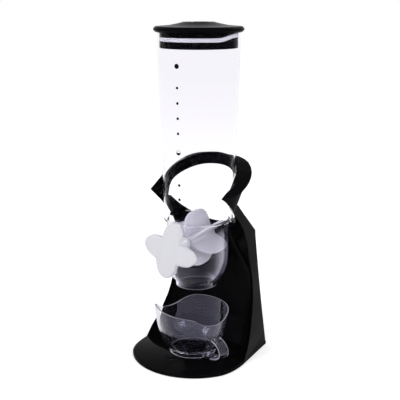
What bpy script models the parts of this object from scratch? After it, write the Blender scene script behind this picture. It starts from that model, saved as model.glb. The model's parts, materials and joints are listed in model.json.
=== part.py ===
"""Countertop cereal dispenser.

A clear tapered canister stands in a black stand with a tilted, open-fronted collar.
A knob on the front turns a soft paddle wheel in the canister's lower chamber, and a
clear cup with a finger loop catches the portion on the foot.

Metres, +Z up, the front faces -Y.  The origin is the middle of the footprint, on the
surface that the dispenser stands on.
"""

import math

import bmesh
import bpy
from mathutils import Matrix, Vector

# Clearances, walls and overruns
GAP = 0.0003
RUNNING_GAP = 0.0001
OVERRUN = 0.002

# Stand: foot
FOOT_RADIUS = 0.0805
FOOT_ARC_SETBACK = 0.0110
FOOT_ARC_HALF_WIDTH = 0.0640
FOOT_SHOULDER_HALF_WIDTH = 0.0748
FOOT_SHOULDER_Y = -0.0165
STAND_REAR_HALF_WIDTH = 0.0711
STAND_REAR_Y = 0.056
DECK_TOP = 0.0043
DECK_EDGE_ROUND = 0.0014
PAD_PROUD = 0.0005
DECK_WALL = 0.0018

# Stand: tower
TOWER_WALL = 0.0030
TOWER_CORNER_HALF_WIDTH = 0.0518
TOWER_NECK_HALF_WIDTH = 0.0530
TOWER_CORNER_HEIGHT = 0.1555
TOWER_ROOF_DROP = 0.0096
TOWER_NECK_DROP = 0.0155
TOWER_WAIST_INSET = 0.0008
PANEL_BACK_Y = 0.0475
PANEL_FOOT_Y = 0.0330
PANEL_TOE_HEIGHT = 0.030
PANEL_ROUND_FROM = 0.105
PANEL_ROUND_TO = 0.160
ARM_BEVEL = 0.0045
REAR_COVER_THICKNESS = 0.0022
FINGER_NOTCH_RADIUS = 0.0090
BEAK_HEIGHT = 0.2155

# Stand: collar round the canister
COLLAR_RADIUS = 0.0472
COLLAR_TOP = 0.2550
COLLAR_BAND_HEIGHT = 0.0150

# Ledges that carry the canister's shoulder
LEDGE_INNER_RADIUS = 0.0405
LEDGE_THICKNESS = 0.0040
LEDGE_LEAD_ANGLE = 7.0
LEDGE_TAIL_ANGLE = 16.0
LEDGE_BITE = 0.0022

# Canister
TUBE_TOP = 0.4080
TUBE_TOP_RADIUS = 0.0502
TUBE_SHOULDER_HEIGHT = 0.1830
TUBE_SHOULDER_RADIUS = 0.0438
TUBE_WALL = 0.0018
SHOULDER_BOTTOM = 0.1770
CHAMBER_HALF_WIDTH = 0.0373
CHAMBER_HALF_DEPTH = 0.0330
CHAMBER_SQUARENESS = 3.0
SPOUT_RADIUS = 0.0262
SPOUT_BOTTOM = 0.0922
SPOUT_TOP = 0.0980
SPOUT_CENTRE_Y = -0.0055
BOWL_TOP = 0.1280
TUBE_SEGMENTS = 48

# Level marks printed up the front of the canister
BIG_MARK_RADIUS = 0.0030
HALF_MARK_RADIUS = 0.0028
SMALL_MARK_RADIUS = 0.0013
MARK_THICKNESS = 0.0003
TOP_MARK_HEIGHT = 0.3710
HALF_MARK_HEIGHT = 0.2690
UPPER_SMALL_MARK_HEIGHT = 0.3460
UPPER_SMALL_MARK_PITCH = 0.0180
LOWER_SMALL_MARK_HEIGHT = 0.2290
LOWER_SMALL_MARK_PITCH = 0.0179

# Lid
FLANGE_RADIUS = 0.0545
FLANGE_BOTTOM = 0.4085
FLANGE_TOP = 0.4150
DOME_TOP = 0.4166
LID_TOP = 0.4200
PLUG_RADIUS = 0.0472
PLUG_BOTTOM = 0.3899
PLUG_WALL = 0.0020
SEAL_BOTTOM = 0.3980
SEAL_TOP = 0.4026
SEAL_RADIUS = 0.0478
SEAL_GROOVE = 0.0016
GRIP_RADIUS = 0.0270
GRIP_SCOOP_LENGTH = 0.0460
GRIP_SCOOP_WIDTH = 0.0165
GRIP_RIB_WIDTH = 0.0070
LID_CORE_SHARE = 0.01

# Paddle wheel and drive
WHEEL_HEIGHT = 0.1525
VANE_COUNT = 6
VANE_FIRST_ANGLE = -20.0
VANE_RADIUS = 0.0351
VANE_HALF_LENGTH = 0.0303
VANE_THICKNESS = 0.0026
VANE_SQUARENESS = 3.0
HUB_RADIUS = 0.0072
HUB_HALF_LENGTH = 0.0290
CORE_RADIUS = 0.0052
SHAFT_RADIUS = 0.0034
BUSH_RADIUS = 0.0058
BUSH_FLANGE_RADIUS = 0.0080
BUSH_FLANGE_THICKNESS = 0.0016
REAR_BOSS_RADIUS = 0.0080
REAR_BOSS_DEPTH = 0.0040

# Knob
KNOB_LOBES = 4
KNOB_FIRST_ANGLE = 77.5
KNOB_TIP_RADIUS = 0.0360
KNOB_VALLEY_RADIUS = 0.0195
KNOB_THICKNESS = 0.0085
KNOB_BACK_Y = -0.0622
KNOB_BOSS_RADIUS = 0.0072
KNOB_BOSS_CLEARANCE = 0.0012
KNOB_EDGE_ROUND = 0.0022
KNOB_LOBE_FULLNESS = 0.8

# Portion cup
CUP_Y = -0.0150
CUP_FOOT_RADIUS = 0.0303
CUP_FOOT_HEIGHT = 0.0042
CUP_WALL = 0.0017
CUP_RIM_RADIUS = 0.0465
CUP_RIM_HEIGHT = 0.0620
CUP_HANDLE_ANGLE = -22.0
CUP_HANDLE_TOP_ROOT = 0.0443
CUP_HANDLE_BOTTOM_ROOT = 0.0292
CUP_HANDLE_REACH = 0.0645
CUP_HANDLE_WIDTH = 0.0138
CUP_HANDLE_THICKNESS = 0.0022
CUP_HANDLE_TOP = 0.0350
CUP_HANDLE_BOTTOM = 0.0078
CUP_SEGMENTS = 72

# Rubber feet, base plate and screws
PAD_RADIUS = 0.0075
PAD_THICKNESS = 0.0014
PAD_FRONT_SIDE_INSET = 0.0220
PAD_FRONT_END_INSET = 0.0315
PAD_REAR_SIDE_INSET = 0.0151
PAD_REAR_END_INSET = 0.0160
BASE_PLATE_THICKNESS = 0.0016
BASE_PLATE_INSET = 0.0060
BASE_SCREW_RADIUS = 0.0026
BASE_SCREW_SIDE_INSET = 0.0211
BASE_SCREW_FRONT_INSET = 0.0615
BASE_SCREW_REAR_INSET = 0.0360

# The front edge of each side wall, from the foot up to the beak of the collar:
# shares of the beak's height, the foot's shoulder half-width and the rear's distance.
FRONT_EDGE_SHARES = (
    (0.000, 1.000, -0.295),
    (0.046, 1.000, -0.134),
    (0.139, 0.940, 0.189),
    (0.278, 0.862, 0.500),
    (0.418, 0.811, 0.614),
    (0.557, 0.751, 0.600),
    (0.696, 0.716, 0.520),
    (0.789, 0.702, 0.325),
    (0.868, 0.694, 0.027),
    (0.928, 0.703, -0.200),
    (1.000, 0.690, -0.535),
)

# Cross-sections of the collar on the +X side, from the beak to the back: angle about the
# canister and share of the way up from the beak to the collar's top, then shares of the
# collar's inner radius and of its band height above there, for the inner bottom, inner top,
# upper edge, outer edge and lower edge.
COLLAR_SECTION_SHARES = (
    (-32.0, 0.0058, (1.268, -0.0425), (1.268, 0.0000), (1.276, 0.0170), (1.284, -0.0136), (1.276, -0.0425)),
    (-25.0, -0.0200, (1.165, -0.1530), (1.155, 0.0000), (1.195, 0.3264), (1.278, 0.0510), (1.228, -0.2975)),
    (-17.0, -0.0458, (1.050, -0.4590), (1.050, 0.0000), (1.150, 0.6205), (1.283, 0.1360), (1.165, -0.6800)),
    (-8.0, 0.0962, (1.004, -1.2240), (1.004, 0.0000), (1.135, 0.4250), (1.292, -0.1530), (1.122, -1.4960)),
    (0.0, 0.2641, (1.000, -1.7170), (1.000, 0.0000), (1.100, 0.2210), (1.302, -0.4590), (1.100, -2.1250)),
    (5.0, 0.3867, (1.000, -1.1900), (1.000, 0.0000), (1.076, 0.1020), (1.325, -0.5950), (1.106, -1.4620)),
    (15.0, 0.5416, (1.000, -0.9860), (1.000, 0.0000), (1.055, 0.0510), (1.368, -0.6205), (1.108, -1.3090)),
    (30.0, 0.6901, (1.000, -0.9690), (1.000, 0.0000), (1.044, 0.0425), (1.405, -0.3910), (1.102, -1.1390)),
    (45.0, 0.8128, (1.000, -0.9605), (1.000, 0.0000), (1.038, 0.0425), (1.378, -0.1020), (1.085, -1.0200)),
    (60.0, 0.9096, (1.000, -0.9690), (1.000, 0.0000), (1.034, 0.0340), (1.270, -0.0170), (1.072, -0.9775)),
    (75.0, 0.9677, (1.000, -0.9860), (1.000, 0.0000), (1.032, 0.0340), (1.155, -0.0850), (1.065, -0.9860)),
    (90.0, 0.9871, (1.000, -0.9996), (1.000, 0.0000), (1.032, 0.0340), (1.110, -0.2040), (1.063, -0.9996)),
)

# Outline of the knob's front edge and back edge: shares of its thickness behind its front,
# and shares of its edge rounding taken off the outline there.
KNOB_LAYER_SHARES = (
    (1.00, 0.50),
    (0.85, 0.00),
    (0.26, 0.00),
    (0.08, 0.40),
    (0.00, 1.00),
)

# Depth of the knob's valleys, from the one after the first lobe on: shares of the valley radius.
KNOB_VALLEY_SHARES = (0.974, 1.205, 1.000, 0.882)

# Outline of one half of the lid's top, from its rim to its middle: shares of the flange's
# radius, and of the height from the flange's underside to the top of the dome.
LID_PROFILE_SHARES = (
    (0.960, 0.000),
    (1.000, 0.270),
    (1.000, 0.530),
    (0.960, 0.800),
    (0.720, 0.930),
)

# The cup's side from its floor to its rim: shares of the height and of the rim's radius.
CUP_PROFILE_SHARES = (
    (0.00, 0.640),
    (0.05, 0.705),
    (0.15, 0.800),
    (0.25, 0.872),
    (0.38, 0.925),
    (0.52, 0.968),
    (0.75, 0.994),
    (1.00, 1.000),
)

# The cup's rim all the way round: angle about the cup, then shares of the rim's height and
# of its radius.  The pouring lip is near -140 degrees.
CUP_RIM_SHARES = (
    (-140.0, 1.120, 1.060),
    (-120.0, 1.069, 1.010),
    (-87.0, 1.035, 1.000),
    (-62.0, 1.012, 1.000),
    (-55.0, 0.985, 1.000),
    (-47.0, 0.916, 1.000),
    (-37.0, 0.871, 1.000),
    (-24.0, 0.848, 1.000),
    (-10.0, 0.845, 1.000),
    (5.0, 0.895, 1.000),
    (20.0, 0.945, 1.000),
    (37.0, 0.972, 1.000),
    (56.0, 0.985, 1.000),
    (82.0, 0.994, 1.000),
    (105.0, 1.000, 1.000),
    (118.0, 0.992, 1.000),
    (131.0, 0.952, 1.000),
    (143.0, 0.879, 1.000),
    (152.0, 0.835, 1.000),
    (162.0, 0.816, 1.000),
    (172.0, 0.831, 1.000),
    (184.0, 0.880, 1.002),
    (200.0, 0.985, 1.012),
    (213.0, 1.085, 1.045),
    (220.0, 1.120, 1.060),
)

# The whole model sits behind the origin by this much, so that the footprint is centred.
FOOT_FRONT_Y = -(FOOT_ARC_SETBACK + FOOT_RADIUS)
AXIS_Y = -(FOOT_FRONT_Y + STAND_REAR_Y) / 2

# The tower reaches up to just below the beak, and its roof falls from there to its rear corners.
TOWER_NECK_HEIGHT = BEAK_HEIGHT - TOWER_NECK_DROP
TOWER_ROOF_SLOPE = (BEAK_HEIGHT - TOWER_ROOF_DROP - TOWER_CORNER_HEIGHT) / STAND_REAR_Y


def clear_scene():
    for item in list(bpy.data.objects):
        bpy.data.objects.remove(item, do_unlink=True)


def material(name, colour, roughness, metallic=0.0, alpha=1.0):
    made = bpy.data.materials.new(name)
    made.use_nodes = True
    shader = made.node_tree.nodes["Principled BSDF"]
    shader.inputs["Base Color"].default_value = (*colour, 1.0)
    shader.inputs["Roughness"].default_value = roughness
    shader.inputs["Metallic"].default_value = metallic
    shader.inputs["Alpha"].default_value = alpha
    made.diffuse_color = (*colour, alpha)
    return made


def empty(name, place):
    made = bpy.data.objects.new(name, None)
    made.location = place
    bpy.context.scene.collection.objects.link(made)
    return made


def link(name, bm, finish, parent, smooth_angle=30.0):
    """Turn a bmesh into a named object under its parent empty."""
    bmesh.ops.recalc_face_normals(bm, faces=bm.faces)
    mesh = bpy.data.meshes.new(name)
    bm.to_mesh(mesh)
    bm.free()
    mesh.shade_smooth()
    mesh.set_sharp_from_angle(angle=math.radians(smooth_angle))
    mesh.materials.append(finish)
    made = bpy.data.objects.new(name, mesh)
    made.parent = parent
    bpy.context.scene.collection.objects.link(made)
    return made


def cutter(name, bm, parent):
    made = link(name, bm, bpy.data.materials["cutter"], parent)
    made.hide_render = True
    made.display_type = "WIRE"
    return made


def boolean(target, tool, operation="DIFFERENCE"):
    step = target.modifiers.new(tool.name, "BOOLEAN")
    step.operation = operation
    step.solver = "EXACT"
    step.object = tool


def loft(rings, closed=False):
    """Join rings of equal length with quads, capping the ends unless the loft closes."""
    bm = bmesh.new()
    rows = [[bm.verts.new(point) for point in ring] for ring in rings]
    count = len(rows[0])
    pairs = list(zip(rows, rows[1:]))
    if closed:
        pairs.append((rows[-1], rows[0]))
    for low, high in pairs:
        for i in range(count):
            j = (i + 1) % count
            bm.faces.new((low[i], low[j], high[j], high[i]))
    if not closed:
        bm.faces.new(list(reversed(rows[0])))
        bm.faces.new(rows[-1])
    bmesh.ops.recalc_face_normals(bm, faces=bm.faces)
    return bm


def ring(radius, height, segments, centre_y=0.0):
    points = []
    for i in range(segments):
        angle = math.tau * i / segments
        points.append(Vector((radius * math.cos(angle), centre_y + radius * math.sin(angle), height)))
    return points


def turned(profile, segments):
    """A solid of revolution about Z from (radius, height) points, closed on the axis."""
    return loft([ring(radius, height, segments) for radius, height in profile])


def turned_tube(profile, segments):
    """A ring of revolution about Z from a closed outline of (radius, height) points."""
    return loft([ring(radius, height, segments) for radius, height in profile], closed=True)


def along_y(bm):
    """Turn a body made about Z so that its axis runs along Y, its top towards -Y."""
    bmesh.ops.rotate(bm, verts=bm.verts, matrix=Matrix.Rotation(math.pi / 2, 3, "X"))
    return bm


def moved(bm, offset):
    bmesh.ops.translate(bm, verts=bm.verts, vec=offset)
    return bm


def prism(outline, low, high):
    return loft([[Vector((x, y, z)) for x, y in outline] for z in (low, high)])


def smooth_table(rows, key):
    """A smooth value between rows of (key, values...), by cubic Hermite spans."""
    keys = [row[0] for row in rows]
    key = min(max(key, keys[0]), keys[-1])
    span = 0
    while span < len(keys) - 2 and key > keys[span + 1]:
        span += 1
    width = keys[span + 1] - keys[span]
    t = (key - keys[span]) / width

    def slope(i, column):
        low = max(i - 1, 0)
        high = min(i + 1, len(keys) - 1)
        return (rows[high][column] - rows[low][column]) / (keys[high] - keys[low])

    values = []
    for column in range(1, len(rows[0])):
        start = rows[span][column]
        end = rows[span + 1][column]
        start_slope = slope(span, column) * width
        end_slope = slope(span + 1, column) * width
        values.append(
            start * (2 * t**3 - 3 * t**2 + 1)
            + start_slope * (t**3 - 2 * t**2 + t)
            + end * (3 * t**2 - 2 * t**3)
            + end_slope * (t**3 - t**2)
        )
    return values


def smoothstep(low, high, value):
    t = min(max((value - low) / (high - low), 0.0), 1.0)
    return t * t * (3 - 2 * t)


def tube_radius(height):
    """Outer radius of the tapered tube at a height."""
    share = (height - TUBE_SHOULDER_HEIGHT) / (TUBE_TOP - TUBE_SHOULDER_HEIGHT)
    return TUBE_SHOULDER_RADIUS + (TUBE_TOP_RADIUS - TUBE_SHOULDER_RADIUS) * share


def foot_outline(inset=0.0, arc_steps=24, side_steps=6):
    """Plan of the foot: a round front that straightens into the sides, square at the rear."""
    radius = FOOT_RADIUS - inset
    reach = FOOT_ARC_HALF_WIDTH - inset
    shoulder = FOOT_SHOULDER_HALF_WIDTH - inset
    half_sweep = math.asin(reach / radius)
    arc_end = Vector((reach, -FOOT_ARC_SETBACK - radius * math.cos(half_sweep)))
    bend = Vector((shoulder, arc_end.y + (shoulder - reach) * math.tan(half_sweep)))
    side_end = Vector((shoulder, FOOT_SHOULDER_Y))
    points = []
    for i in range(arc_steps // 2 + 1):
        angle = half_sweep * 2 * i / arc_steps
        points.append(Vector((radius * math.sin(angle), -FOOT_ARC_SETBACK - radius * math.cos(angle))))
    for i in range(1, side_steps + 1):
        t = i / side_steps
        points.append(arc_end * (1 - t) ** 2 + bend * 2 * t * (1 - t) + side_end * t**2)
    points.append(Vector((STAND_REAR_HALF_WIDTH - inset, STAND_REAR_Y - inset)))
    left = [(-p.x, p.y) for p in reversed(points) if p.x > GAP]
    return [(p.x, p.y) for p in points] + left


def front_edge(height):
    """Half-width and Y of the side wall's front edge at a height."""
    x_share, y_share = smooth_table(FRONT_EDGE_SHARES, height / BEAK_HEIGHT)
    return x_share * (FOOT_SHOULDER_HALF_WIDTH - GAP), y_share * STAND_REAR_Y


def rear_half_width(height):
    """Half-width of the tower's rear corners: they lean in to the roof, then flare a little."""
    if height < TOWER_CORNER_HEIGHT:
        share = height / TOWER_CORNER_HEIGHT
        waist = TOWER_WAIST_INSET * math.sin(math.pi * share)
        low = STAND_REAR_HALF_WIDTH - GAP
        return low + (TOWER_CORNER_HALF_WIDTH - low) * share - waist
    share = (height - TOWER_CORNER_HEIGHT) / (TOWER_NECK_HEIGHT - TOWER_CORNER_HEIGHT)
    return TOWER_CORNER_HALF_WIDTH + (TOWER_NECK_HALF_WIDTH - TOWER_CORNER_HALF_WIDTH) * share


def panel_curve(height, steps=12):
    """Plan of the concave front panel on the +X side, from its middle to the front edge."""
    edge_x, edge_y = front_edge(height)
    roundness = smoothstep(PANEL_ROUND_FROM, PANEL_ROUND_TO, height)
    depth = PANEL_FOOT_Y + (PANEL_BACK_Y - PANEL_FOOT_Y) * smoothstep(0.0, PANEL_TOE_HEIGHT, height)
    round_end = math.acos(min((edge_y + ARM_BEVEL) / PANEL_BACK_Y, 1.0))
    points = []
    for i in range(steps + 1):
        quarter = math.pi / 2 * i / steps
        wide_y = edge_y + (depth - edge_y) * math.cos(quarter)
        side_share = (wide_y - edge_y) / (STAND_REAR_Y - edge_y)
        side_x = edge_x + (rear_half_width(height) - edge_x) * side_share
        wide_x = side_x * math.sin(quarter)
        angle = round_end * i / steps
        round_x = PANEL_BACK_Y * math.sin(angle)
        round_y = PANEL_BACK_Y * math.cos(angle)
        points.append(Vector((
            wide_x + (round_x - wide_x) * roundness,
            wide_y + (round_y - wide_y) * roundness,
            height,
        )))
    return points


def mirrored(points):
    """The -X copy of a half outline, in reverse order, without its points on X = 0."""
    return [Vector((-p.x, p.y, p.z)) for p in reversed(points) if abs(p.x) > GAP / 2]


def tower_ring(height):
    """One closed plan section of the tower as a solid block."""
    edge_x, edge_y = front_edge(height)
    half = panel_curve(height)
    if half[-1].x < edge_x - GAP:
        half.append(Vector((edge_x, edge_y, height)))
    else:
        half.append(Vector((edge_x + GAP, edge_y + GAP, height)))
    half.append(Vector((rear_half_width(height), STAND_REAR_Y, height)))
    half.append(Vector((0.0, STAND_REAR_Y, height)))
    return half + mirrored(half)


def cut_above_roof(bm, drop):
    """Remove everything above the tower's sloping roof plane, lowered by drop."""
    result = bmesh.ops.bisect_plane(
        bm,
        geom=bm.verts[:] + bm.edges[:] + bm.faces[:],
        plane_co=(0.0, STAND_REAR_Y, TOWER_CORNER_HEIGHT - drop),
        plane_no=(0.0, TOWER_ROOF_SLOPE, 1.0),
        clear_outer=True,
    )
    edges = [item for item in result["geom_cut"] if isinstance(item, bmesh.types.BMEdge)]
    bmesh.ops.holes_fill(bm, edges=edges)
    bmesh.ops.recalc_face_normals(bm, faces=bm.faces)
    return bm


def steps_between(low, high, pitch):
    count = max(2, round((high - low) / pitch))
    return [low + (high - low) * i / count for i in range(count + 1)]


def tower_block():
    heights = steps_between(PAD_PROUD + DECK_WALL, TOWER_NECK_HEIGHT, BEAK_HEIGHT / 16)
    return cut_above_roof(loft([tower_ring(height) for height in heights]), 0.0)


def pocket_half(height, wall):
    """Half plan of the hollow behind the panel, from its middle to the rear corner."""
    curve = panel_curve(height)
    side = rear_half_width(height) - wall
    inner = []
    for i, point in enumerate(curve):
        before = curve[max(i - 1, 0)]
        after = curve[min(i + 1, len(curve) - 1)]
        along = (after - before).normalized()
        inner.append(point + Vector((-along.y, along.x, 0.0)) * wall)
    inner[0].x = 0.0
    kept = [p for p in inner if p.x < side - wall]
    last = kept[-1]
    kept.append(Vector((side, min(last.y, STAND_REAR_Y - wall), height)))
    return kept


def pocket_ring(height, wall, count=14):
    """The pocket's plan section, resampled to a fixed number of points a side."""
    half = pocket_half(height, wall)
    lengths = [0.0]
    for a, b in zip(half, half[1:]):
        lengths.append(lengths[-1] + (b - a).length)
    points = []
    for i in range(count):
        target = lengths[-1] * i / (count - 1)
        span = 0
        while span < len(half) - 2 and target > lengths[span + 1]:
            span += 1
        t = (target - lengths[span]) / (lengths[span + 1] - lengths[span])
        points.append(half[span].lerp(half[span + 1], min(t, 1.0)))
    corner = points[-1]
    points.append(Vector((corner.x, STAND_REAR_Y + OVERRUN, height)))
    points.append(Vector((0.0, STAND_REAR_Y + OVERRUN, height)))
    return points + mirrored(points)


def tower_pocket():
    """The hollow behind the front panel, open at the rear."""
    heights = steps_between(DECK_TOP, TOWER_CORNER_HEIGHT, BEAK_HEIGHT / 12)
    drop = TOWER_WALL * math.hypot(1.0, TOWER_ROOF_SLOPE)
    return cut_above_roof(loft([pocket_ring(height, TOWER_WALL) for height in heights]), drop)


def foot_deck():
    """The foot plate with a rounded upper edge."""
    outlines = (
        (PAD_PROUD, 0.0),
        (DECK_TOP - DECK_EDGE_ROUND, 0.0),
        (DECK_TOP - DECK_EDGE_ROUND * 0.3, DECK_EDGE_ROUND * 0.3),
        (DECK_TOP, DECK_EDGE_ROUND),
    )
    return loft([[Vector((x, y, z)) for x, y in foot_outline(inset)] for z, inset in outlines])


def collar_ring(angle, rise_share, pairs):
    turn = math.radians(angle)
    rise = BEAK_HEIGHT + (COLLAR_TOP - BEAK_HEIGHT) * rise_share
    points = []
    for radius_share, height_share in pairs:
        radius = radius_share * COLLAR_RADIUS
        height = rise + height_share * COLLAR_BAND_HEIGHT
        points.append(Vector((radius * math.cos(turn), radius * math.sin(turn), height)))
    return points


def collar_body():
    """The tilted collar: a band behind the canister and a flared wing on each side."""
    flat_rows = []
    for angle, rise_share, *pairs in COLLAR_SECTION_SHARES:
        flat_rows.append([angle, rise_share] + [value for pair in pairs for value in pair])
    angles = [row[0] for row in COLLAR_SECTION_SHARES]
    half = []
    for low, high in zip(angles, angles[1:]):
        parts = 2 if high - low > 6.0 else 1
        half += [low + (high - low) * i / parts for i in range(parts)]
    half.append(angles[-1])
    rings = []
    for angle in half:
        rise_share, *values = smooth_table(flat_rows, angle)
        rings.append(collar_ring(angle, rise_share, zip(values[0::2], values[1::2])))
    left = [[Vector((-p.x, p.y, p.z)) for p in section] for section in reversed(rings[:-1])]
    return loft(rings + left)


def ledge(side, steps=6):
    """A small shelf inside one arm, under the canister's shoulder."""
    top = SHOULDER_BOTTOM - GAP
    arm = math.degrees(math.asin(front_edge(top)[1] / COLLAR_RADIUS))
    first = arm - LEDGE_LEAD_ANGLE
    sweep = LEDGE_LEAD_ANGLE + LEDGE_TAIL_ANGLE
    angles = [math.radians(first + sweep * i / steps) for i in range(steps + 1)]
    outline = []
    for radius, turns in ((LEDGE_INNER_RADIUS, angles), (COLLAR_RADIUS + LEDGE_BITE, reversed(angles))):
        for angle in turns:
            outline.append((side * radius * math.cos(angle), radius * math.sin(angle)))
    return prism(outline, top - LEDGE_THICKNESS, top)


def screw_places():
    x = STAND_REAR_HALF_WIDTH - BASE_SCREW_SIDE_INSET
    for side in (-1, 1):
        for y in (FOOT_FRONT_Y + BASE_SCREW_FRONT_INSET, STAND_REAR_Y - BASE_SCREW_REAR_INSET):
            yield Vector((side * x, y, 0.0))


def pad_places():
    front_x = FOOT_ARC_HALF_WIDTH - PAD_FRONT_SIDE_INSET
    rear_x = STAND_REAR_HALF_WIDTH - PAD_REAR_SIDE_INSET
    for side in (-1, 1):
        yield Vector((side * front_x, FOOT_FRONT_Y + PAD_FRONT_END_INSET, 0.0))
        yield Vector((side * rear_x, STAND_REAR_Y - PAD_REAR_END_INSET, 0.0))


def build_stand(parent, finish):
    shell = link("stand_shell", foot_deck(), finish, parent)
    boolean(shell, cutter("tower_block", tower_block(), parent), "UNION")
    boolean(shell, cutter("tower_pocket", tower_pocket(), parent))
    boolean(shell, cutter("collar_body", collar_body(), parent), "UNION")
    for side, name in ((-1, "left_ledge"), (1, "right_ledge")):
        boolean(shell, cutter(name, ledge(side), parent), "UNION")
    recess_top = PAD_PROUD + BASE_PLATE_THICKNESS + GAP
    recess = prism(foot_outline(BASE_PLATE_INSET - GAP), -OVERRUN, recess_top)
    boolean(shell, cutter("base_recess", recess, parent))
    return shell


def build_rear_cover(parent, finish):
    """The flat plate that closes the tower's hollow from behind, with a notch to pull it off."""
    low = DECK_TOP + GAP
    high = TOWER_CORNER_HEIGHT - TOWER_WALL * math.hypot(1.0, TOWER_ROOF_SLOPE) - GAP
    rings = []
    for y in (STAND_REAR_Y - REAR_COVER_THICKNESS, STAND_REAR_Y):
        side = []
        for height in steps_between(low, high, BEAK_HEIGHT / 12):
            side.append(Vector((rear_half_width(height) - TOWER_WALL - 2 * GAP, y, height)))
        rings.append(side + mirrored(side))
    cover = link("rear_cover", loft(rings), finish, parent)
    depth = REAR_COVER_THICKNESS + OVERRUN
    notch = along_y(turned(((FINGER_NOTCH_RADIUS, -depth), (FINGER_NOTCH_RADIUS, depth)), 24))
    boolean(cover, cutter("finger_notch", moved(notch, (0.0, STAND_REAR_Y, high)), parent))
    return cover


def round_hole(radius, top, segments, place):
    """A cutter for a round hole up from below the stand, widened by the fitting gap."""
    outline = ((radius + GAP, -OVERRUN), (radius + GAP, top))
    return moved(turned(outline, segments), place)


def build_base(parent, plate_finish, pad_finish, screw_finish):
    """The plate that closes the foot from below, its screws and its rubber feet."""
    low = PAD_PROUD
    high = PAD_PROUD + BASE_PLATE_THICKNESS
    plate = link("base_plate", prism(foot_outline(BASE_PLATE_INSET), low, high), plate_finish, parent)
    for i, place in enumerate(screw_places()):
        hole = round_hole(BASE_SCREW_RADIUS, DECK_TOP, 16, place)
        boolean(plate, cutter(f"screw_hole_{i}", hole, parent))
    for i, place in enumerate(pad_places()):
        pocket = round_hole(PAD_RADIUS, PAD_THICKNESS + GAP, 24, place)
        boolean(plate, cutter(f"pad_pocket_{i}", pocket, parent))
    for i, place in enumerate(pad_places(), start=1):
        pad = turned(((PAD_RADIUS, 0.0), (PAD_RADIUS, PAD_THICKNESS)), 24)
        link(f"foot_pad_{i}", moved(pad, place), pad_finish, parent)
    for i, place in enumerate(screw_places(), start=1):
        screw = turned(((BASE_SCREW_RADIUS, low), (BASE_SCREW_RADIUS, high)), 16)
        link(f"base_screw_{i}", moved(screw, place), screw_finish, parent)


def chamber_ring(height, inset, roundness):
    """Plan of the chamber: a soft rectangle that turns round and narrow at the spout."""
    half_width = CHAMBER_HALF_WIDTH + (SPOUT_RADIUS - CHAMBER_HALF_WIDTH) * roundness - inset
    half_depth = CHAMBER_HALF_DEPTH + (SPOUT_RADIUS - CHAMBER_HALF_DEPTH) * roundness - inset
    power = CHAMBER_SQUARENESS + (2.0 - CHAMBER_SQUARENESS) * roundness
    points = []
    for i in range(TUBE_SEGMENTS):
        angle = math.tau * i / TUBE_SEGMENTS
        cos, sin = math.cos(angle), math.sin(angle)
        scale = (abs(cos) ** power + abs(sin) ** power) ** (-1 / power)
        points.append(Vector((
            half_width * scale * cos,
            SPOUT_CENTRE_Y * roundness + half_depth * scale * sin,
            height,
        )))
    return points


def bowl_roundness(height):
    """How far the chamber has closed in towards the spout, 0 above the bowl and 1 at it."""
    share = (BOWL_TOP - height) / (BOWL_TOP - SPOUT_TOP)
    return 1 - math.sqrt(max(0.0, 1 - min(max(share, 0.0), 1.0) ** 2))


def canister_wall(inset, bowl_steps=7):
    """Rings from the spout up to the tube's rim, inset from the outer surface."""
    rings = [chamber_ring(SPOUT_BOTTOM, inset, 1.0)]
    for i in range(bowl_steps + 1):
        rise = math.sin(math.pi / 2 * i / bowl_steps) ** 1.5
        height = SPOUT_TOP + (BOWL_TOP - SPOUT_TOP) * rise
        rings.append(chamber_ring(height, inset, bowl_roundness(height)))
    lift = inset / 2
    shoulder = SHOULDER_BOTTOM + lift
    rings.append(chamber_ring(shoulder, inset, 0.0))
    lip = (SHOULDER_BOTTOM + TUBE_SHOULDER_HEIGHT) / 2
    rings.append(ring(tube_radius(lip) - inset, shoulder + GAP, TUBE_SEGMENTS))
    low = TUBE_SHOULDER_HEIGHT + lift
    for height in steps_between(low, TUBE_TOP, (TUBE_TOP - low) / 2):
        rings.append(ring(tube_radius(height) - inset, height, TUBE_SEGMENTS))
    return rings


def rod_along_y(radius, front, back, segments=24):
    """A round rod along Y between two places, front being the more negative one."""
    return along_y(turned(((radius, -back), (radius, -front)), segments))


def build_canister(parent, finish):
    outer = canister_wall(0.0)
    inner = canister_wall(TUBE_WALL)
    canister = link("canister", loft(outer + list(reversed(inner)), closed=True), finish, parent)
    wheel_centre = (0.0, 0.0, WHEEL_HEIGHT)
    hole = rod_along_y(BUSH_RADIUS + GAP, -CHAMBER_HALF_DEPTH - OVERRUN, 0.0)
    boolean(canister, cutter("front_bush_hole", moved(hole, wheel_centre), parent))
    boss_end = CHAMBER_HALF_DEPTH + REAR_BOSS_DEPTH
    boss = rod_along_y(REAR_BOSS_RADIUS, CHAMBER_HALF_DEPTH - TUBE_WALL, boss_end)
    boolean(canister, cutter("rear_boss", moved(boss, wheel_centre), parent), "UNION")
    socket = rod_along_y(BUSH_RADIUS + GAP, 0.0, boss_end - TUBE_WALL)
    boolean(canister, cutter("rear_bush_socket", moved(socket, wheel_centre), parent))
    return canister


def mark(height, radius, half_only=False):
    """One printed dot on the front of the tube, lying just off the wall."""
    steps = 8 if radius < HALF_MARK_RADIUS else 14
    outline = []
    for i in range(steps):
        share = 1 / 2 + i / (2 * (steps - 1)) if half_only else i / steps
        angle = math.tau * share
        outline.append((radius * math.cos(angle), height + radius * math.sin(angle)))
    rings = []
    for lift in (GAP, GAP + MARK_THICKNESS):
        points = []
        for x, z in outline:
            reach = tube_radius(z) + lift
            points.append(Vector((x, -math.sqrt(reach**2 - x**2), z)))
        rings.append(points)
    return loft(rings)


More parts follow.
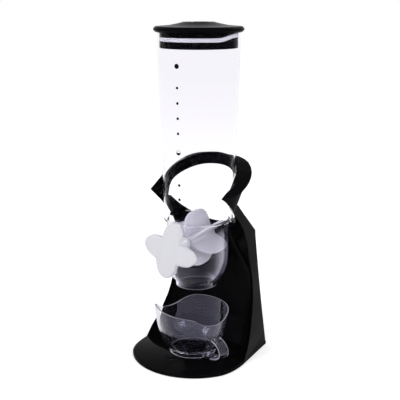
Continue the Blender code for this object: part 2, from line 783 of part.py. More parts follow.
def build_marks(parent, finish):
    marks = [
        mark(TOP_MARK_HEIGHT, BIG_MARK_RADIUS),
        mark(HALF_MARK_HEIGHT, HALF_MARK_RADIUS, half_only=True),
    ]
    for i in range(4):
        marks.append(mark(UPPER_SMALL_MARK_HEIGHT - i * UPPER_SMALL_MARK_PITCH, SMALL_MARK_RADIUS))
    for i in range(2):
        marks.append(mark(LOWER_SMALL_MARK_HEIGHT - i * LOWER_SMALL_MARK_PITCH, SMALL_MARK_RADIUS))
    for i, dot in enumerate(marks, start=1):
        link(f"level_mark_{i}", dot, finish, parent)


def lid_cap_profile():
    """Half outline of the lid: flange, low dome and the raised grip in its middle."""
    profile = [(FLANGE_RADIUS * LID_CORE_SHARE, FLANGE_BOTTOM)]
    for radius_share, height_share in LID_PROFILE_SHARES:
        height = FLANGE_BOTTOM + (DOME_TOP - FLANGE_BOTTOM) * height_share
        profile.append((FLANGE_RADIUS * radius_share, height))
    step = (LID_TOP - DOME_TOP) / 3
    profile.append((GRIP_RADIUS + step, DOME_TOP))
    profile.append((GRIP_RADIUS, DOME_TOP + step))
    profile.append((GRIP_RADIUS - step, LID_TOP - step / 2))
    profile.append((GRIP_RADIUS - 3 * step, LID_TOP))
    profile.append((FLANGE_RADIUS * LID_CORE_SHARE, LID_TOP))
    return profile


def grip_scoop(side):
    """The hollow on one side of the grip's bar that a finger tip goes into."""
    depth = LID_TOP - DOME_TOP
    half = GRIP_SCOOP_LENGTH / 2
    scoop = turned(((half - depth, -depth), (half, OVERRUN)), 32)
    bmesh.ops.scale(scoop, vec=(1.0, GRIP_SCOOP_WIDTH / GRIP_SCOOP_LENGTH, 1.0), verts=scoop.verts)
    y = side * (GRIP_RIB_WIDTH + GRIP_SCOOP_WIDTH) / 2
    return moved(scoop, (0.0, y, LID_TOP))


def build_lid(parent, cap_finish, seal_finish):
    """The lid: its cap, the hollow plug below it and the soft seal round the plug."""
    cap = link("lid_cap", turned(lid_cap_profile(), 64), cap_finish, parent)
    for side, name in ((-1, "front_scoop"), (1, "rear_scoop")):
        boolean(cap, cutter(name, grip_scoop(side), parent))
    groove_low = SEAL_BOTTOM - GAP
    groove_high = SEAL_TOP + GAP
    groove_radius = PLUG_RADIUS - SEAL_GROOVE
    inner = groove_radius - PLUG_WALL
    top = FLANGE_BOTTOM - GAP
    plug = (
        (PLUG_RADIUS, PLUG_BOTTOM),
        (PLUG_RADIUS, groove_low),
        (groove_radius, groove_low),
        (groove_radius, groove_high),
        (PLUG_RADIUS, groove_high),
        (PLUG_RADIUS, top),
        (inner, top),
        (inner, PLUG_BOTTOM),
    )
    link("lid_plug", turned_tube(plug, 64), cap_finish, parent)
    lip = (SEAL_TOP - SEAL_BOTTOM) / 4
    seal = (
        (groove_radius + GAP, SEAL_BOTTOM),
        (PLUG_RADIUS, SEAL_BOTTOM),
        (SEAL_RADIUS, SEAL_BOTTOM + lip),
        (PLUG_RADIUS, SEAL_BOTTOM + 2 * lip),
        (SEAL_RADIUS, SEAL_BOTTOM + 3 * lip),
        (PLUG_RADIUS, SEAL_TOP),
        (groove_radius + GAP, SEAL_TOP),
    )
    link("lid_seal", turned_tube(seal, 64), seal_finish, parent)


def vane(angle):
    """One soft vane of the wheel, standing on the hub, with a rounded outline."""
    steps = 18
    root = HUB_RADIUS * 0.6
    outline = [(root, -HUB_HALF_LENGTH)]
    for i in range(steps + 1):
        turn = -math.pi / 2 + math.pi * i / steps
        cos, sin = max(math.cos(turn), 0.0), math.sin(turn)
        scale = (cos**VANE_SQUARENESS + abs(sin) ** VANE_SQUARENESS) ** (-1 / VANE_SQUARENESS)
        reach = VANE_RADIUS * scale * cos
        if reach > root:
            outline.append((reach, VANE_HALF_LENGTH * scale * sin))
    outline.append((root, HUB_HALF_LENGTH))
    half = VANE_THICKNESS / 2
    bm = loft([[Vector((r, y, z)) for r, y in outline] for z in (-half, half)])
    bmesh.ops.rotate(bm, verts=bm.verts, matrix=Matrix.Rotation(-math.radians(angle), 3, "Y"))
    return bm


def build_wheel(parent, soft_finish, core_finish, shaft_finish):
    """The soft paddle wheel, the stiff core inside it and the shaft."""
    hub = rod_along_y(HUB_RADIUS, -HUB_HALF_LENGTH, HUB_HALF_LENGTH, 32)
    wheel = link("paddle_wheel", hub, soft_finish, parent)
    for i in range(VANE_COUNT):
        blade = vane(VANE_FIRST_ANGLE + i * 360.0 / VANE_COUNT)
        boolean(wheel, cutter(f"vane_{i}", blade, parent), "UNION")
    bore_end = HUB_HALF_LENGTH + OVERRUN
    bore = rod_along_y(CORE_RADIUS + GAP, -bore_end, bore_end)
    boolean(wheel, cutter("wheel_bore", bore, parent))
    core = (
        (CORE_RADIUS, -HUB_HALF_LENGTH),
        (CORE_RADIUS, HUB_HALF_LENGTH),
        (SHAFT_RADIUS + GAP, HUB_HALF_LENGTH),
        (SHAFT_RADIUS + GAP, -HUB_HALF_LENGTH),
    )
    link("wheel_core", along_y(turned_tube(core, 24)), core_finish, parent)
    shaft_front = KNOB_BACK_Y - KNOB_THICKNESS / 2
    shaft_back = CHAMBER_HALF_DEPTH + REAR_BOSS_DEPTH - TUBE_WALL - GAP
    shaft = rod_along_y(SHAFT_RADIUS, shaft_front, shaft_back)
    link("drive_shaft", shaft, shaft_finish, parent)


def build_bushes(parent, finish):
    """The bushes in the canister's front and rear walls that the shaft turns in."""
    bore = SHAFT_RADIUS + RUNNING_GAP
    wall_front = CHAMBER_HALF_DEPTH
    flange = wall_front + GAP
    front_outline = (
        (bore, wall_front - TUBE_WALL),
        (BUSH_RADIUS, wall_front - TUBE_WALL),
        (BUSH_RADIUS, flange),
        (BUSH_FLANGE_RADIUS, flange),
        (BUSH_FLANGE_RADIUS, flange + BUSH_FLANGE_THICKNESS),
        (bore, flange + BUSH_FLANGE_THICKNESS),
    )
    link("front_bush", along_y(turned_tube(front_outline, 24)), finish, parent)
    low = -(CHAMBER_HALF_DEPTH + REAR_BOSS_DEPTH - TUBE_WALL - GAP)
    high = -(CHAMBER_HALF_DEPTH - TUBE_WALL + GAP)
    rear_outline = ((bore, low), (BUSH_RADIUS, low), (BUSH_RADIUS, high), (bore, high))
    link("rear_bush", along_y(turned_tube(rear_outline, 24)), finish, parent)


def knob_outline(steps=96):
    """Round lobes with valleys between them that are not all equally deep."""
    points = []
    for i in range(steps):
        angle = math.tau * i / steps
        phase = KNOB_LOBES * (angle - math.radians(KNOB_FIRST_ANGLE))
        swell = ((1 + math.cos(phase)) / 2) ** KNOB_LOBE_FULLNESS
        gap = math.floor(phase / math.tau) % KNOB_LOBES
        valley = KNOB_VALLEY_RADIUS * KNOB_VALLEY_SHARES[gap]
        radius = valley + (KNOB_TIP_RADIUS - valley) * swell
        points.append((radius * math.cos(angle), radius * math.sin(angle)))
    return points


def build_knob(parent, finish):
    """The flat knob with the boss behind it that takes the shaft's front end."""
    front = KNOB_BACK_Y - KNOB_THICKNESS
    rings = []
    for depth_share, inset_share in KNOB_LAYER_SHARES:
        layer = []
        for x, z in knob_outline():
            shrink = 1 - KNOB_EDGE_ROUND * inset_share / math.hypot(x, z)
            layer.append(Vector((x * shrink, front + KNOB_THICKNESS * depth_share, z * shrink)))
        rings.append(layer)
    knob = link("knob", loft(rings), finish, parent)
    boss_back = -(CHAMBER_HALF_DEPTH + GAP + BUSH_FLANGE_THICKNESS + KNOB_BOSS_CLEARANCE)
    boss = rod_along_y(KNOB_BOSS_RADIUS, KNOB_BACK_Y - KNOB_EDGE_ROUND, boss_back)
    boolean(knob, cutter("knob_boss", boss, parent), "UNION")
    bore = rod_along_y(SHAFT_RADIUS + GAP, KNOB_BACK_Y - KNOB_THICKNESS / 2 - GAP, 0.0)
    boolean(knob, cutter("knob_bore", bore, parent))


def cup_rim(angle):
    """Height and radius of the cup's rim at an angle in degrees."""
    first = CUP_RIM_SHARES[0][0]
    height_share, radius_share = smooth_table(CUP_RIM_SHARES, first + (angle - first) % 360.0)
    return height_share * CUP_RIM_HEIGHT, radius_share * CUP_RIM_RADIUS


def cup_ring(share, radius_share, inset, floor):
    """One level of the cup's side, between its floor and its uneven rim."""
    points = []
    for i in range(CUP_SEGMENTS):
        rim_height, rim_radius = cup_rim(360.0 * i / CUP_SEGMENTS)
        spread = CUP_RIM_RADIUS + (rim_radius - CUP_RIM_RADIUS) * share**2
        radius = radius_share * spread - inset
        angle = math.tau * i / CUP_SEGMENTS
        height = floor + (rim_height - floor) * share
        points.append(Vector((radius * math.cos(angle), radius * math.sin(angle), height)))
    return points


def cup_handle(steps=14):
    """A flat ribbon bent into a finger loop, standing out from the cup's side."""
    middle = (CUP_HANDLE_TOP + CUP_HANDLE_BOTTOM) / 2
    half_height = (CUP_HANDLE_TOP - CUP_HANDLE_BOTTOM) / 2
    half_width = CUP_HANDLE_WIDTH / 2
    half_thickness = CUP_HANDLE_THICKNESS / 2
    rings = []
    for i in range(steps + 1):
        turn = math.pi / 2 - math.pi * i / steps
        root = CUP_HANDLE_TOP_ROOT + (CUP_HANDLE_BOTTOM_ROOT - CUP_HANDLE_TOP_ROOT) * i / steps
        half_reach = CUP_HANDLE_REACH - root
        reach = root + half_reach * math.cos(turn)
        centre = Vector((reach, 0.0, middle + half_height * math.sin(turn)))
        out = Vector((math.cos(turn) / half_reach, 0.0, math.sin(turn) / half_height)).normalized()
        section = []
        for side, offset in ((-1, -1), (1, -1), (1, 1), (-1, 1)):
            across = Vector((0.0, side * half_width, 0.0))
            section.append(centre + out * offset * half_thickness + across)
        rings.append(section)
    bm = loft(rings)
    turn_to_side = Matrix.Rotation(math.radians(CUP_HANDLE_ANGLE), 3, "Z")
    bmesh.ops.rotate(bm, verts=bm.verts, matrix=turn_to_side)
    return bm


def build_cup(parent, finish):
    """The portion cup: foot ring, uneven bowl and finger loop in one piece."""
    stands_on = DECK_TOP + GAP
    foot_top = stands_on + CUP_FOOT_HEIGHT
    floor_top = foot_top + CUP_WALL
    rings = [
        ring(CUP_FOOT_RADIUS - CUP_WALL, foot_top, CUP_SEGMENTS),
        ring(CUP_FOOT_RADIUS - CUP_WALL, stands_on, CUP_SEGMENTS),
        ring(CUP_FOOT_RADIUS, stands_on, CUP_SEGMENTS),
    ]
    for share, radius_share in CUP_PROFILE_SHARES:
        rings.append(cup_ring(share, radius_share, 0.0, foot_top))
    for share, radius_share in reversed(CUP_PROFILE_SHARES):
        rings.append(cup_ring(share, radius_share, CUP_WALL, floor_top))
    cup = link("portion_cup", loft(rings), finish, parent)
    boolean(cup, cutter("cup_handle", cup_handle(), parent), "UNION")


def main():
    clear_scene()
    material("cutter", (1.0, 0.2, 0.2), 0.5)
    gloss_black = material("gloss_black", (0.012, 0.012, 0.013), 0.12)
    satin_black = material("satin_black", (0.02, 0.02, 0.02), 0.35)
    clear = material("clear", (0.93, 0.93, 0.97), 0.05, alpha=0.3)
    ink = material("ink", (0.02, 0.02, 0.02), 0.5)
    translucent = material("translucent_silicone", (0.85, 0.85, 0.86), 0.35)
    silicone = material("grey_silicone", (0.62, 0.62, 0.65), 0.45)
    knob_grey = material("knob_grey", (0.72, 0.73, 0.75), 0.35)
    white = material("white_plastic", (0.85, 0.85, 0.85), 0.35)
    steel = material("steel", (0.6, 0.6, 0.62), 0.3, metallic=1.0)
    rubber = material("rubber", (0.03, 0.03, 0.03), 0.8)

    axis = empty("canister_axis", (0.0, AXIS_Y, 0.0))
    wheel_axis = empty("wheel_axis", (0.0, AXIS_Y, WHEEL_HEIGHT))
    cup_axis = empty("cup_axis", (0.0, AXIS_Y + CUP_Y, 0.0))

    build_stand(axis, gloss_black)
    build_rear_cover(axis, satin_black)
    build_base(axis, satin_black, rubber, steel)
    build_canister(axis, clear)
    build_marks(axis, ink)
    build_lid(axis, satin_black, translucent)
    build_wheel(wheel_axis, silicone, white, steel)
    build_bushes(wheel_axis, white)
    build_knob(wheel_axis, knob_grey)
    build_cup(cup_axis, clear)


main()
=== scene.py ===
"""Looks for the cereal dispenser: smooth pieces, clear plastic, black plastic and a pale studio."""
import json
import math

import bmesh
import bpy
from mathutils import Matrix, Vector


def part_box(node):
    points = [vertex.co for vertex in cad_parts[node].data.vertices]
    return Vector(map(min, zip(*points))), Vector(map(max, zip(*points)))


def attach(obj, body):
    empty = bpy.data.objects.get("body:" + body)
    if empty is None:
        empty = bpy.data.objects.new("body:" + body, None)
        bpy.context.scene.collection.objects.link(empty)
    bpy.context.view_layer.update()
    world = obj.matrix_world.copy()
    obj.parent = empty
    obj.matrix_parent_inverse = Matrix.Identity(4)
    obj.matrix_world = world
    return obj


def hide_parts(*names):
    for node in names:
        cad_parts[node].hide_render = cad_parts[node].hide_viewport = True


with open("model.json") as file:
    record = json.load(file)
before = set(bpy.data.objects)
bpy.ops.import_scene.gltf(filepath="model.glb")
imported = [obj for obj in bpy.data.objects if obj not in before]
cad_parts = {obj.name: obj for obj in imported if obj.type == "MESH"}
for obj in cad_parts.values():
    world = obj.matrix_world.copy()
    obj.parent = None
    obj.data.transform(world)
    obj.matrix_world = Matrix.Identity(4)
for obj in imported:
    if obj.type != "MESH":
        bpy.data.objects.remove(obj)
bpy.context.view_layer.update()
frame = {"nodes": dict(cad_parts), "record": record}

# All lengths, heights and radii are in metres, unless the name says otherwise

# Welding, smoothing and rounding of the pieces
WELD_DISTANCE = 0.000001
SMOOTH_ANGLE = math.radians(28.0)
ROUND_ANGLE = math.radians(38.0)
ROUND_SEGMENTS = 2

# Surface texture that every moulded look shares
DRIFT_SCALE = 14.0
DRIFT_DETAIL = 4.0
DRIFT_ROUGHNESS = 0.6
GRAIN_DETAIL = 3.0
GRAIN_HEIGHT = 0.0002

# Clear plastic; the low indices of refraction match the photograph, not real plastic
CLEAR_ROUGHNESS = 0.025
CLEAR_ROUGHNESS_SPREAD = 0.012
CLEAR_GRAIN_SCALE = 60.0
CLEAR_GRAIN_STRENGTH = 0.02
CUP_IOR = 1.38
CHAMBER_IOR = 1.16
TUBE_IOR = 1.06
SHOULDER_LOW_Z = 0.158
SHOULDER_HIGH_Z = 0.172
LAVENDER = (0.74, 0.72, 1.0, 1.0)
EVEN_RADIUS = (1.0, 1.0, 1.0)

# Bright edges of the clear plastic, where the eye skims it
EDGE_COLOUR = (0.86, 0.84, 1.0, 1.0)
EDGE_ROUGHNESS = 0.08
CHAMBER_EDGE_LEVEL = 1.0
CHAMBER_EDGE_POWER = 2.5
CUP_EDGE_LEVEL = 0.9
CUP_EDGE_POWER = 5.0
EDGE_FADE_FROM_Z = 0.160
EDGE_FADE_TO_Z = 0.170

# Faces of the clear plastic that are thin edges and carry a painted highlight: a paler, half-clear
# material that stands in for the light gathered in thin edges
PAINTED_HIGHLIGHT_SLOT = 1
EDGE_FACING = 0.75
SPOUT_EDGE_TO_Z = 0.0935
CUP_RIM_FROM_Z = 0.040
CUP_FOOT_TO_Z = 0.006
CUP_LOOP_FROM_RADIUS = 0.0480
CUP_AXIS_Y = 0.00275
CUP_LOOP_TURN = math.radians(-22.0)

# Lid: its grip, and the seal that climbs on one side
CANISTER_AXIS_Y = 0.01775
GRIP_FOOT_Z = 0.4163
GRIP_EDGE_RADIUS = 0.0262
GRIP_SIDE_RADIUS = 0.0276
GRIP_INWARD_SHARE = 0.82
GRIP_SIDE_TO_RADIUS = 0.0285
GRIP_SIDE_TO_Z = 0.4178
GRIP_FOOT_TO_RADIUS = 0.0370
GRIP_FOOT_TO_Z = 0.41615
SEAL_LOW_Z = 0.3975
SEAL_HIGH_Z = 0.4031
SEAL_RISE = 0.0045
SEAL_CLIMB_FROM_TURN = math.radians(-31.0)
SEAL_CLIMB_TO_TURN = math.radians(5.0)
SEAL_SINK_FROM_TURN = math.radians(100.0)
SEAL_SINK_TO_TURN = math.radians(150.0)

# Printed marks on the tube
FIRST_SMALL_MARK = 3
LAST_SMALL_MARK = 8
MARK_SPREAD_SHARE = 1.3
HALF_MARK_Z = 0.2690
HALF_MARK_RADIUS = 0.0028
RING_WIRE_RADIUS = 0.00022
RING_STEPS = 40
WIRE_STEPS = 6

# Studio: floor, surroundings and lamps
WHITE = (1.0, 1.0, 1.0, 1.0)
FLOOR_SIZE = 6.0
FLOOR_COLOUR = (0.85, 0.85, 0.85, 1.0)
FLOOR_GLOW = 0.36
WORLD_LIGHT = 0.75
WORLD_SEEN = 1.0
LAMP_AIM = (0.0, CANISTER_AXIS_Y, 0.2)
LAMPS = {
    "key": {"place": (-0.9, -1.3, 1.5), "size": 0.8, "watts": 9.0},
    "side": {"place": (1.4, -0.6, 0.9), "size": 0.7, "watts": 5.0},
    "back": {"place": (0.5, 1.4, 1.2), "size": 0.7, "watts": 4.0},
}

# Camera fitted to the photograph; it turns about the canister's axis
CAMERA_TURN = math.radians(31.14)
CAMERA_REACH = 0.95345
CAMERA_HEIGHT = 0.44527
CAMERA_PITCH = math.radians(14.37)
SENSOR_WIDTH_MM = 36.0
IMAGE_WIDTH_PX = 400
FOCAL_PX = 781.14
CENTRE_PX = 198.78


def fill(tree, node, **sockets):
    """Gives each named socket its value, or a link where the value is another node's output."""
    for name, value in sockets.items():
        socket = node.inputs[name.replace("_", " ")]
        if isinstance(value, bpy.types.NodeSocket):
            tree.links.new(value, socket)
        else:
            socket.default_value = value


def add_node(tree, kind, **sockets):
    """Adds a node and fills its sockets."""
    node = tree.nodes.new(kind)
    fill(tree, node, **sockets)
    return node


def maths(tree, operation, first, second, clamp=False):
    """The outcome of an operation on two sides, each a number or another node's output."""
    node = tree.nodes.new("ShaderNodeMath")
    node.operation = operation
    node.use_clamp = clamp
    for socket, side in zip(node.inputs, (first, second)):
        if isinstance(side, bpy.types.NodeSocket):
            tree.links.new(side, socket)
        else:
            socket.default_value = side
    return node.outputs["Value"]


def mix_shaders(tree, share, first, second):
    """A shader that goes from the first to the second as the share goes from 0 to 1."""
    mix = add_node(tree, "ShaderNodeMixShader", Fac=share)
    tree.links.new(first, mix.inputs[1])
    tree.links.new(second, mix.inputs[2])
    return mix.outputs["Shader"]


def height_ramp(tree, low_z, high_z, below, above):
    """A value that goes from one number to the other between two heights."""
    place = tree.nodes.new("ShaderNodeTexCoord")
    split = add_node(tree, "ShaderNodeSeparateXYZ", Vector=place.outputs["Object"])
    ramp = add_node(tree, "ShaderNodeMapRange", Value=split.outputs["Z"], From_Min=low_z,
                    From_Max=high_z, To_Min=below, To_Max=above)
    return ramp.outputs["Result"]


def seen_share(tree):
    """1 for what the camera, a gloss or clear plastic sees, 0 for the light that falls on pieces."""
    path = tree.nodes.new("ShaderNodeLightPath")
    straight = maths(tree, "ADD", path.outputs["Is Camera Ray"],
                     path.outputs["Is Transmission Ray"], clamp=True)
    return maths(tree, "ADD", straight, path.outputs["Is Glossy Ray"], clamp=True)


def moulded(name, colour, roughness, roughness_spread, grain_scale, grain_strength,
            colour_spread=0.0, **sockets):
    """A moulded plastic: its gloss drifts softly, it has a fine grain and its colour may vary."""
    material = bpy.data.materials.new(name)
    material.use_nodes = True
    tree = material.node_tree
    place = tree.nodes.new("ShaderNodeTexCoord")
    drift = add_node(tree, "ShaderNodeTexNoise", Vector=place.outputs["Object"],
                     Scale=DRIFT_SCALE, Detail=DRIFT_DETAIL, Roughness=DRIFT_ROUGHNESS)
    gloss = add_node(tree, "ShaderNodeMapRange", Value=drift.outputs["Fac"],
                     To_Min=roughness - roughness_spread, To_Max=roughness + roughness_spread)
    grain = add_node(tree, "ShaderNodeTexNoise", Vector=place.outputs["Object"],
                     Scale=grain_scale, Detail=GRAIN_DETAIL)
    relief = add_node(tree, "ShaderNodeBump", Height=grain.outputs["Fac"],
                      Strength=grain_strength, Distance=GRAIN_HEIGHT)
    shader = tree.nodes["Principled BSDF"]
    fill(tree, shader, Base_Color=(*colour, 1.0), Roughness=gloss.outputs["Result"],
         Normal=relief.outputs["Normal"], **sockets)
    if colour_spread:
        ramp = add_node(tree, "ShaderNodeValToRGB", Fac=drift.outputs["Fac"])
        darker = [max(part - colour_spread, 0.0) for part in colour]
        lighter = [min(part + colour_spread, 1.0) for part in colour]
        ramp.color_ramp.elements[0].color = (*darker, 1.0)
        ramp.color_ramp.elements[1].color = (*lighter, 1.0)
        fill(tree, shader, Base_Color=ramp.outputs["Color"])
    return material


def clear_plastic(name, colour, ior):
    """A clear plastic with a lavender gloss."""
    return moulded(name, colour, CLEAR_ROUGHNESS, CLEAR_ROUGHNESS_SPREAD, CLEAR_GRAIN_SCALE,
                   CLEAR_GRAIN_STRENGTH, Transmission_Weight=1.0, IOR=ior,
                   Specular_Tint=LAVENDER)


def light_the_edges(material, exponent, level):
    """A clear plastic turns bright where the eye skims it, and its shadow takes only its tint."""
    tree = material.node_tree
    shader = tree.nodes["Principled BSDF"]
    skim = tree.nodes.new("ShaderNodeLayerWeight")
    share = maths(tree, "MULTIPLY", maths(tree, "POWER", skim.outputs["Facing"], exponent), level)
    bright = add_node(tree, "ShaderNodeBsdfGlossy", Color=EDGE_COLOUR, Roughness=EDGE_ROUGHNESS)
    plastic = mix_shaders(tree, share, shader.outputs["BSDF"], bright.outputs["BSDF"])
    tint = add_node(tree, "ShaderNodeBsdfTransparent",
                    Color=tuple(shader.inputs["Base Color"].default_value))
    path = tree.nodes.new("ShaderNodeLightPath")
    surface = mix_shaders(tree, path.outputs["Is Shadow Ray"], plastic, tint.outputs["BSDF"])
    fill(tree, tree.nodes["Material Output"], Surface=surface)


# One look per material slot of the record, then the cup's own and the painted highlight of the thin
# edges
materials = {
    "gloss_black": moulded(
        "gloss_black_look", (0.0025, 0.0025, 0.003), roughness=0.07, roughness_spread=0.025,
        grain_scale=40.0, grain_strength=0.012, colour_spread=0.001, IOR=1.07),
    "satin_black": moulded(
        "satin_black_look", (0.003, 0.003, 0.004), roughness=0.24, roughness_spread=0.05,
        grain_scale=900.0, grain_strength=0.05, colour_spread=0.001, IOR=1.045),
    "clear": clear_plastic("clear_look", (0.958, 0.951, 0.977), TUBE_IOR),
    "ink": moulded(
        "ink_look", (0.004, 0.004, 0.004), roughness=0.55, roughness_spread=0.08,
        grain_scale=1500.0, grain_strength=0.08, colour_spread=0.002, IOR=1.1),
    "translucent_silicone": moulded(
        "seal_look", (0.60, 0.60, 0.66), roughness=0.42, roughness_spread=0.06,
        grain_scale=500.0, grain_strength=0.06, colour_spread=0.015,
        Subsurface_Weight=0.25, Subsurface_Scale=0.002, Subsurface_Radius=EVEN_RADIUS),
    "grey_silicone": moulded(
        "wheel_look", (0.56, 0.55, 0.61), roughness=0.40, roughness_spread=0.08,
        grain_scale=420.0, grain_strength=0.08, colour_spread=0.02, Sheen_Weight=0.08,
        Subsurface_Weight=0.3, Subsurface_Scale=0.003, Subsurface_Radius=EVEN_RADIUS),
    "knob_grey": moulded(
        "knob_look", (0.70, 0.70, 0.75), roughness=0.36, roughness_spread=0.06,
        grain_scale=800.0, grain_strength=0.06, colour_spread=0.015,
        Specular_IOR_Level=0.5, Coat_Weight=0.15, Coat_Roughness=0.22),
    "white_plastic": moulded(
        "white_look", (0.80, 0.80, 0.82), roughness=0.34, roughness_spread=0.06,
        grain_scale=700.0, grain_strength=0.06, colour_spread=0.012),
    "steel": moulded(
        "steel_look", (0.58, 0.58, 0.60), roughness=0.30, roughness_spread=0.06,
        grain_scale=300.0, grain_strength=0.08, colour_spread=0.02, Metallic=1.0),
    "rubber": moulded(
        "rubber_look", (0.020, 0.020, 0.021), roughness=0.75, roughness_spread=0.10,
        grain_scale=1300.0, grain_strength=0.25, colour_spread=0.004),
    "cup": clear_plastic("cup_look", (0.965, 0.962, 0.985), CUP_IOR),
    # Painted highlight: a paler, half-clear lavender on the thin edges of clear plastic, so they
    # read as bright lines
    "painted_edge_highlight": moulded(
        "painted_edge_highlight_look", (0.64, 0.63, 0.74), roughness=0.16, roughness_spread=0.04,
        grain_scale=90.0, grain_strength=0.02, colour_spread=0.02,
        Transmission_Weight=0.55, IOR=1.46),
}

# The canister bends light more in its thick chamber, and its edges turn bright only there
canister_tree = materials["clear"].node_tree
fill(canister_tree, canister_tree.nodes["Principled BSDF"],
     IOR=height_ramp(canister_tree, SHOULDER_LOW_Z, SHOULDER_HIGH_Z, CHAMBER_IOR, TUBE_IOR))
light_the_edges(
    materials["clear"], CHAMBER_EDGE_POWER,
    height_ramp(canister_tree, EDGE_FADE_FROM_Z, EDGE_FADE_TO_Z, CHAMBER_EDGE_LEVEL, 0.0))
light_the_edges(materials["cup"], CUP_EDGE_POWER, CUP_EDGE_LEVEL)


def slope_grip(work):
    """Draws the lid's grip into a low cone that runs out onto the dome."""
    for vert in work.verts:
        if vert.co.z < GRIP_FOOT_Z:
            continue
        x, y = vert.co.x, vert.co.y - CANISTER_AXIS_Y
        radius = math.hypot(x, y)
        if radius < GRIP_EDGE_RADIUS:
            share, height = GRIP_INWARD_SHARE, vert.co.z
        elif radius < GRIP_SIDE_RADIUS:
            share, height = GRIP_SIDE_TO_RADIUS / radius, GRIP_SIDE_TO_Z
        else:
            share, height = GRIP_FOOT_TO_RADIUS / radius, GRIP_FOOT_TO_Z
        vert.co = (x * share, y * share + CANISTER_AXIS_Y, height)


def ease(value):
    """Goes from 0 to 1 with a soft start and a soft end, and stays there outside that range."""
    value = min(max(value, 0.0), 1.0)
    return value * value * (3 - 2 * value)


def raise_seal(work):
    """The seal and its groove run level round the plug and climb on one side."""
    climb = SEAL_CLIMB_TO_TURN - SEAL_CLIMB_FROM_TURN
    sink = SEAL_SINK_TO_TURN - SEAL_SINK_FROM_TURN
    for vert in work.verts:
        if SEAL_LOW_Z < vert.co.z < SEAL_HIGH_Z:
            turn = math.atan2(vert.co.y - CANISTER_AXIS_Y, vert.co.x)
            climbed = ease((turn - SEAL_CLIMB_FROM_TURN) / climb)
            unsunk = ease((SEAL_SINK_TO_TURN - turn) / sink)
            vert.co.z += SEAL_RISE * (climbed * unsunk)


def spread_mark(work):
    """Printed ink spreads a little past the small disc that carries it."""
    middle = sum((vert.co for vert in work.verts), Vector()) / len(work.verts)
    for vert in work.verts:
        vert.co.x = middle.x + (vert.co.x - middle.x) * MARK_SPREAD_SHARE
        vert.co.z = middle.z + (vert.co.z - middle.z) * MARK_SPREAD_SHARE


def paint_cup_edge_highlights(work):
    """The rim, the foot's underside and the sides of the finger loop are thin edges; they get the
    painted highlight.
    """
    sideways = Vector((-math.sin(CUP_LOOP_TURN), math.cos(CUP_LOOP_TURN), 0.0))
    for face in work.faces:
        middle = face.calc_center_median()
        radius = math.hypot(middle.x, middle.y - CUP_AXIS_Y)
        rim = middle.z > CUP_RIM_FROM_Z and face.normal.z > EDGE_FACING
        foot = middle.z < CUP_FOOT_TO_Z and face.normal.z < -EDGE_FACING
        loop = radius > CUP_LOOP_FROM_RADIUS and abs(face.normal.dot(sideways)) > EDGE_FACING
        if rim or foot or (loop and middle.z < CUP_RIM_FROM_Z):
            face.material_index = PAINTED_HIGHLIGHT_SLOT


def paint_spout_edge_highlight(work):
    """The spout's lower rim is a thin edge; it gets the painted highlight."""
    for face in work.faces:
        low = face.calc_center_median().z < SPOUT_EDGE_TO_Z
        if low and face.normal.z < -EDGE_FACING:
            face.material_index = PAINTED_HIGHLIGHT_SLOT


def made_mesh(name, work):
    """A mesh of the work, which is freed."""
    mesh = bpy.data.meshes.new(name)
    work.to_mesh(mesh)
    work.free()
    return mesh


def show(name, data):
    """Adds an object to the scene."""
    shown = bpy.data.objects.new(name, data)
    bpy.context.scene.collection.objects.link(shown)
    return shown


small_marks = ["level_mark_%d" % number for number in range(FIRST_SMALL_MARK, LAST_SMALL_MARK + 1)]
shapings = {"lid_cap": slope_grip, "lid_plug": raise_seal, "lid_seal": raise_seal}
for mark in small_marks:
    shapings[mark] = spread_mark
# Pieces whose thin edges get the painted highlight
edge_highlight_painters = {"portion_cup": paint_cup_edge_highlights, "canister": paint_spout_edge_highlight}
looks = {"portion_cup": "cup"}
slots = {entry["node"]: entry["material_slot"] for entry in frame["record"]["subparts"]}
bodies = {}
for body, members in frame["record"]["behaviour"]["bodies"].items():
    for member in members:
        bodies[member] = body


def smooth_piece(node, name, round_width):
    """A welded, smoothly shaded piece that stands for a CAD node, with fine rounds on hard edges."""
    work = bmesh.new()
    work.from_mesh(frame["nodes"][node].data)
    bmesh.ops.remove_doubles(work, verts=work.verts, dist=WELD_DISTANCE)
    if node in shapings:
        shapings[node](work)
    bmesh.ops.recalc_face_normals(work, faces=work.faces)
    if node in edge_highlight_painters:
        edge_highlight_painters[node](work)
    for face in work.faces:
        face.smooth = True
    for edge in work.edges:
        edge.smooth = len(edge.link_faces) == 2 and edge.calc_face_angle(0.0) < SMOOTH_ANGLE
    mesh = made_mesh(name, work)
    mesh.materials.append(materials[looks.get(node, slots[node])])
    # The second slot carries the painted highlight of the thin edges
    if node in edge_highlight_painters:
        mesh.materials.append(materials["painted_edge_highlight"])
    piece = show(name, mesh)
    if round_width:
        rounding = piece.modifiers.new("fine_round", "BEVEL")
        rounding.width = round_width
        rounding.segments = ROUND_SEGMENTS
        rounding.limit_method = "ANGLE"
        rounding.angle_limit = ROUND_ANGLE
        rounding.harden_normals = True
        rounding.use_clamp_overlap = True
    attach(piece, bodies[node])
    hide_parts(node)


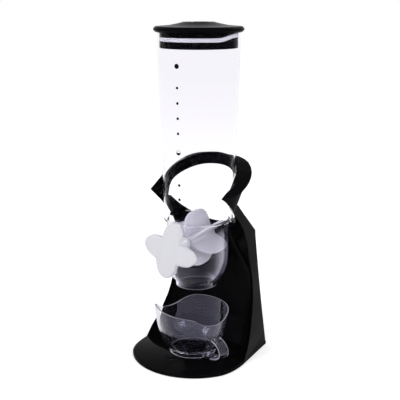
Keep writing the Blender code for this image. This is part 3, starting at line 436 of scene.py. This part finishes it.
# CAD node, then the name of the piece that stands for it and the width of its rounds
pieces = {
    "stand_shell": ("stand_body", 0.0005),
    "rear_cover": ("rear_cover_look", 0.0003),
    "lid_cap": ("lid_top", 0.0004),
    "lid_plug": ("lid_skirt", 0.0003),
    "lid_seal": ("lid_band", 0.0),
    "canister": ("clear_tube", 0.0),
    "portion_cup": ("clear_cup", 0.0004),
    "paddle_wheel": ("soft_vanes", 0.0003),
    "wheel_core": ("wheel_hub", 0.0002),
    "knob": ("turning_knob", 0.0005),
    "front_bush": ("front_bush_look", 0.0002),
    "rear_bush": ("rear_bush_look", 0.0002),
}
for mark in small_marks:
    pieces[mark] = (mark.replace("level", "printed"), 0.0)
for node, (name, round_width) in pieces.items():
    smooth_piece(node, name, round_width)
for node, obj in frame["nodes"].items():
    if node not in pieces:
        obj.data.materials.clear()
        obj.data.materials.append(materials[slots[node]])


def outline_half_mark():
    """The thin printed circle of the half mark, whose filled part is a CAD node of its own."""
    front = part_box("level_mark_2")[0].y
    work = bmesh.new()
    rings = []
    for step in range(RING_STEPS):
        turn = math.tau * step / RING_STEPS
        outward = Vector((math.cos(turn), 0.0, math.sin(turn)))
        middle = Vector((HALF_MARK_RADIUS * math.cos(turn), front,
                         HALF_MARK_Z + HALF_MARK_RADIUS * math.sin(turn)))
        ring = []
        for wire_step in range(WIRE_STEPS):
            angle = math.tau * wire_step / WIRE_STEPS
            shift = outward * (RING_WIRE_RADIUS * math.cos(angle))
            shift += Vector((0.0, RING_WIRE_RADIUS * math.sin(angle), 0.0))
            ring.append(work.verts.new(middle + shift))
        rings.append(ring)
    for step in range(RING_STEPS):
        here = rings[step]
        there = rings[(step + 1) % RING_STEPS]
        for near in range(WIRE_STEPS):
            far = (near + 1) % WIRE_STEPS
            face = work.faces.new((here[near], here[far], there[far], there[near]))
            face.smooth = True
    bmesh.ops.recalc_face_normals(work, faces=work.faces)
    mesh = made_mesh("half_mark_ring", work)
    mesh.materials.append(materials["ink"])
    piece = show("half_mark_ring", mesh)
    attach(piece, "canister")


outline_half_mark()


def white_floor_look():
    """White for what sees the floor; its plain surface under that keeps the object's shadow."""
    material = bpy.data.materials.new("studio_floor")
    material.use_nodes = True
    tree = material.node_tree
    tree.nodes.clear()
    plain = add_node(tree, "ShaderNodeBsdfDiffuse", Color=FLOOR_COLOUR)
    glow = add_node(tree, "ShaderNodeEmission", Color=WHITE,
                    Strength=maths(tree, "MULTIPLY", seen_share(tree), FLOOR_GLOW))
    both = tree.nodes.new("ShaderNodeAddShader")
    tree.links.new(plain.outputs["BSDF"], both.inputs[0])
    tree.links.new(glow.outputs["Emission"], both.inputs[1])
    add_node(tree, "ShaderNodeOutputMaterial", Surface=both.outputs["Shader"])
    return material


reach = FLOOR_SIZE / 2
floor_work = bmesh.new()
floor_work.faces.new([floor_work.verts.new(corner) for corner in (
    (-reach, -reach, 0.0), (reach, -reach, 0.0), (reach, reach, 0.0), (-reach, reach, 0.0))])
floor_mesh = made_mesh("floor", floor_work)
floor_mesh.materials.append(white_floor_look())
floor = show("floor", floor_mesh)

world = bpy.data.worlds.new("studio")
bpy.context.scene.world = world
world.use_nodes = True
sky = world.node_tree
strength = add_node(sky, "ShaderNodeMapRange", Value=seen_share(sky), To_Min=WORLD_LIGHT,
                    To_Max=WORLD_SEEN)
fill(sky, sky.nodes["Background"], Color=WHITE, Strength=strength.outputs["Result"])

for name, lamp in LAMPS.items():
    lamp_data = bpy.data.lights.new(name, "AREA")
    lamp_data.shape = "SQUARE"
    lamp_data.size = lamp["size"]
    lamp_data.energy = lamp["watts"]
    shown_lamp = show(name, lamp_data)
    shown_lamp.location = lamp["place"]
    toward = Vector(LAMP_AIM) - Vector(lamp["place"])
    shown_lamp.rotation_euler = toward.to_track_quat("-Z", "Y").to_euler()

camera_data = bpy.data.cameras.new("photo_camera")
camera_data.sensor_width = SENSOR_WIDTH_MM
camera_data.lens = FOCAL_PX / IMAGE_WIDTH_PX * SENSOR_WIDTH_MM
camera_data.shift_x = (IMAGE_WIDTH_PX / 2 - CENTRE_PX) / IMAGE_WIDTH_PX
camera = show("photo_camera", camera_data)
camera.location = (
    CAMERA_REACH * math.sin(CAMERA_TURN),
    CANISTER_AXIS_Y - CAMERA_REACH * math.cos(CAMERA_TURN),
    CAMERA_HEIGHT,
)
camera.rotation_euler = (math.pi / 2 - CAMERA_PITCH, 0.0, CAMERA_TURN)
bpy.context.scene.camera = camera
bpy.context.scene.view_settings.view_transform = "Standard"
